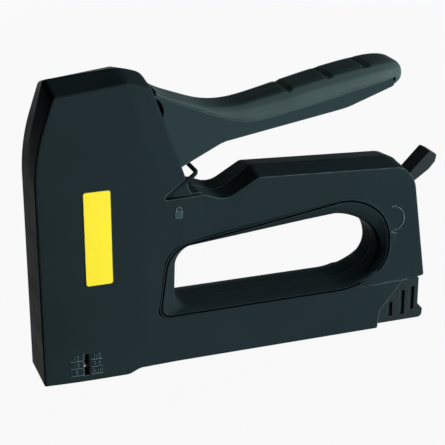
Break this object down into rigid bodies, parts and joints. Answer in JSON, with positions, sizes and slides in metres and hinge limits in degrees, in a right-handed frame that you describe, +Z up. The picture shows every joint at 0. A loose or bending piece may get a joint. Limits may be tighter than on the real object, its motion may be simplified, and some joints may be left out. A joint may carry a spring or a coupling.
{
  "type": "staple gun",
  "caption": "Hand staple gun with two cast half shells, a squeeze handle, a leaf-spring hammer, a power lever, a wire handle latch and a pull-out staple magazine.",
  "frame": {"origin": "staple exit: the middle of the drive slot's mouth, on the parting plane, in the plane of the nose foot", "axes": "+X runs back along the tool towards the magazine cap, +Y across towards the right side, +Z up from the work"},
  "size_m": [0.1924, 0.0286, 0.1383],
  "materials": {
    "housing_paint": "satin charcoal powder coat on cast aluminium",
    "lever_paint": "satin charcoal powder coat on cast aluminium",
    "grip_rubber": "grained soft black pad",
    "black_plastic": "matt black moulding",
    "black_wire": "black coated spring wire",
    "hard_steel": "hardened bare steel",
    "plated_steel": "zinc plated",
    "spring_steel": "oil-tempered spring steel",
    "bumper_rubber": "plain black rubber"
  },
  "bodies": {
    "housing": {"left_shell": "housing_paint", "right_shell": "housing_paint", "housing_screws": "plated_steel", "nose_plate": "hard_steel", "staple_channel": "hard_steel", "hammer_bumper": "bumper_rubber", "handle_pivot_pin": "plated_steel", "fulcrum_pin": "plated_steel", "power_lever_pin": "plated_steel", "power_spring": "spring_steel", "helper_spring": "spring_steel", "handle_return_spring": "spring_steel"},
    "handle": {"handle_lever": "lever_paint", "handle_grip": "grip_rubber"},
    "hammer": {"hammer": "hard_steel", "driver_blade": "hard_steel", "blade_rivets": "plated_steel"},
    "power_lever": {"power_lever": "black_plastic"},
    "handle_latch": {"handle_latch": "black_wire"},
    "magazine": {"magazine_cap": "black_plastic", "magazine_core": "hard_steel", "pusher_rod": "plated_steel", "catch_spring": "spring_steel", "pusher_spring": "spring_steel"},
    "pusher": {"pusher": "plated_steel"}
  },
  "joints": [
    {"name": "handle_squeeze", "type": "hinge", "parent": "housing", "child": "handle", "pos_m": [0.045, 0, 0.1195], "axis": [0, 1, 0], "range_deg": [0, 15], "stiffness_Nm_per_rad": 2.5, "springref_deg": -20.05, "deforming": ["handle_return_spring"]},
    {"name": "hammer_lift", "type": "slide", "parent": "housing", "child": "hammer", "axis": [0, 0, 1], "range_m": [0, 0.0097], "deforming": ["power_spring", "helper_spring"]},
    {"name": "power_setting", "type": "hinge", "parent": "housing", "child": "power_lever", "pos_m": [0.1615, 0, 0.0645], "axis": [0, 1, 0], "range_deg": [0, 50], "deforming": ["power_spring", "helper_spring"]},
    {"name": "latch_swing", "type": "hinge", "parent": "housing", "child": "handle_latch", "pos_m": [0.0529, 0, 0.0824], "axis": [0, 1, 0], "range_deg": [0, 27]},
    {"name": "magazine_pull", "type": "slide", "parent": "housing", "child": "magazine", "axis": [1, 0, 0], "range_m": [0, 0.105]},
    {"name": "pusher_slide", "type": "slide", "parent": "magazine", "child": "pusher", "axis": [1, 0, 0], "range_m": [0, 0.086], "stiffness_N_per_m": 40, "springref_m": -0.05, "deforming": ["pusher_spring"]}
  ],
  "couplings": [
    {"joint": "hammer_lift", "follows": "handle_squeeze", "m_per_rad": 0.036761}
  ]
}
